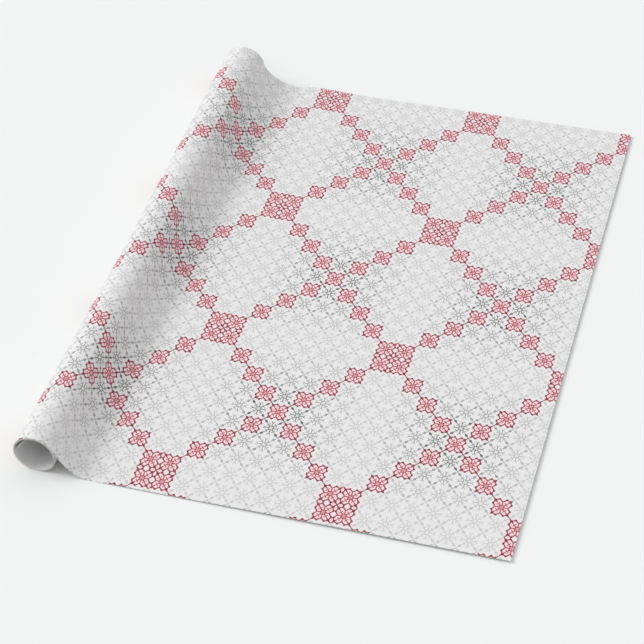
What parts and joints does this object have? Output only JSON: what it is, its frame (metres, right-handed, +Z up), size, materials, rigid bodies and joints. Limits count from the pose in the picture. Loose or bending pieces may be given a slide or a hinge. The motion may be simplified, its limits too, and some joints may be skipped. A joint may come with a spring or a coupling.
{
  "type": "wrapping paper roll",
  "caption": "Coreless roll of printed gift wrap, part unrolled: the web leaves the roll over a hollow bend and lies flat to its cut end. It draws off, its end curls up and its turns shift.",
  "frame": {"origin": "middle of the footprint, on the surface that the roll and the laid sheet lie on", "axes": "+X from the roll towards the sheet's cut end, +Y along the roll's axis, +Z up"},
  "size_m": [0.5273, 0.7366, 0.0466],
  "materials": {
    "printed_web": "matte",
    "wound_web": "matte"
  },
  "bodies": {
    "lead_off": {"lead_off_curve": "printed_web"},
    "roll": {"outer_turn": "printed_web"},
    "turn_2": {"wound_turn_2": "wound_web"},
    "turn_3": {"wound_turn_3": "wound_web"},
    "turn_4": {"wound_turn_4": "wound_web"},
    "turn_5": {"wound_turn_5": "wound_web"},
    "turn_6": {"wound_turn_6": "wound_web"},
    "turn_7": {"wound_turn_7": "wound_web"},
    "turn_8": {"wound_turn_8": "wound_web"},
    "turn_9": {"wound_turn_9": "wound_web"},
    "inner_turn": {"loose_inner_turn": "wound_web"},
    "sheet": {"laid_panel_1": "printed_web"},
    "panel_2": {"laid_panel_2": "printed_web"},
    "panel_3": {"laid_panel_3": "printed_web"},
    "panel_4": {"laid_panel_4": "printed_web"},
    "panel_5": {"laid_panel_5": "printed_web"},
    "cut_end": {"cut_end_panel": "printed_web"}
  },
  "joints": [
    {"name": "pull_off", "type": "slide", "parent": "lead_off", "child": "sheet", "axis": [1, 0, 0], "range_m": [0, 0.5856]},
    {"name": "roll_spin", "type": "hinge", "parent": "lead_off", "child": "roll", "pos_m": [-0.24035, 0, 0.0233], "axis": [0, 1, 0], "range_deg": [0, 1440]},
    {"name": "inner_turn_slide", "type": "slide", "parent": "roll", "child": "inner_turn", "axis": [0, 1, 0], "range_m": [-0.036, 0.036]},
    {"name": "turn_2_slide", "type": "slide", "parent": "roll", "child": "turn_2", "axis": [0, 1, 0], "range_m": [-0.004, 0.004]},
    {"name": "turn_3_slide", "type": "slide", "parent": "roll", "child": "turn_3", "axis": [0, 1, 0], "range_m": [-0.008, 0.008]},
    {"name": "turn_4_slide", "type": "slide", "parent": "roll", "child": "turn_4", "axis": [0, 1, 0], "range_m": [-0.012, 0.012]},
    {"name": "turn_5_slide", "type": "slide", "parent": "roll", "child": "turn_5", "axis": [0, 1, 0], "range_m": [-0.016, 0.016]},
    {"name": "turn_6_slide", "type": "slide", "parent": "roll", "child": "turn_6", "axis": [0, 1, 0], "range_m": [-0.02, 0.02]},
    {"name": "turn_7_slide", "type": "slide", "parent": "roll", "child": "turn_7", "axis": [0, 1, 0], "range_m": [-0.024, 0.024]},
    {"name": "turn_8_slide", "type": "slide", "parent": "roll", "child": "turn_8", "axis": [0, 1, 0], "range_m": [-0.028, 0.028]},
    {"name": "turn_9_slide", "type": "slide", "parent": "roll", "child": "turn_9", "axis": [0, 1, 0], "range_m": [-0.032, 0.032]},
    {"name": "end_curl", "type": "hinge", "parent": "sheet", "child": "panel_2", "pos_m": [-0.08966, 0, 0.00007], "axis": [0, -1, 0], "range_deg": [0, 18]},
    {"name": "end_curl_2", "type": "hinge", "parent": "panel_2", "child": "panel_3", "pos_m": [-0.019, 0, 0.00007], "axis": [0, -1, 0], "range_deg": [0, 18]},
    {"name": "end_curl_3", "type": "hinge", "parent": "panel_3", "child": "panel_4", "pos_m": [0.05166, 0, 0.00007], "axis": [0, -1, 0], "range_deg": [0, 18]},
    {"name": "end_curl_4", "type": "hinge", "parent": "panel_4", "child": "panel_5", "pos_m": [0.12233, 0, 0.00007], "axis": [0, -1, 0], "range_deg": [0, 18]},
    {"name": "end_curl_5", "type": "hinge", "parent": "panel_5", "child": "cut_end", "pos_m": [0.19299, 0, 0.00007], "axis": [0, -1, 0], "range_deg": [0, 18]}
  ],
  "couplings": [
    {"joint": "roll_spin", "follows": "pull_off", "rad_per_m": 42.918},
    {"joint": "turn_2_slide", "follows": "inner_turn_slide", "ratio": 0.11111},
    {"joint": "turn_3_slide", "follows": "inner_turn_slide", "ratio": 0.22222},
    {"joint": "turn_4_slide", "follows": "inner_turn_slide", "ratio": 0.33333},
    {"joint": "turn_5_slide", "follows": "inner_turn_slide", "ratio": 0.44444},
    {"joint": "turn_6_slide", "follows": "inner_turn_slide", "ratio": 0.55556},
    {"joint": "turn_7_slide", "follows": "inner_turn_slide", "ratio": 0.66667},
    {"joint": "turn_8_slide", "follows": "inner_turn_slide", "ratio": 0.77778},
    {"joint": "turn_9_slide", "follows": "inner_turn_slide", "ratio": 0.88889},
    {"joint": "end_curl_2", "follows": "end_curl", "ratio": 1},
    {"joint": "end_curl_3", "follows": "end_curl", "ratio": 1},
    {"joint": "end_curl_4", "follows": "end_curl", "ratio": 1},
    {"joint": "end_curl_5", "follows": "end_curl", "ratio": 1}
  ]
}
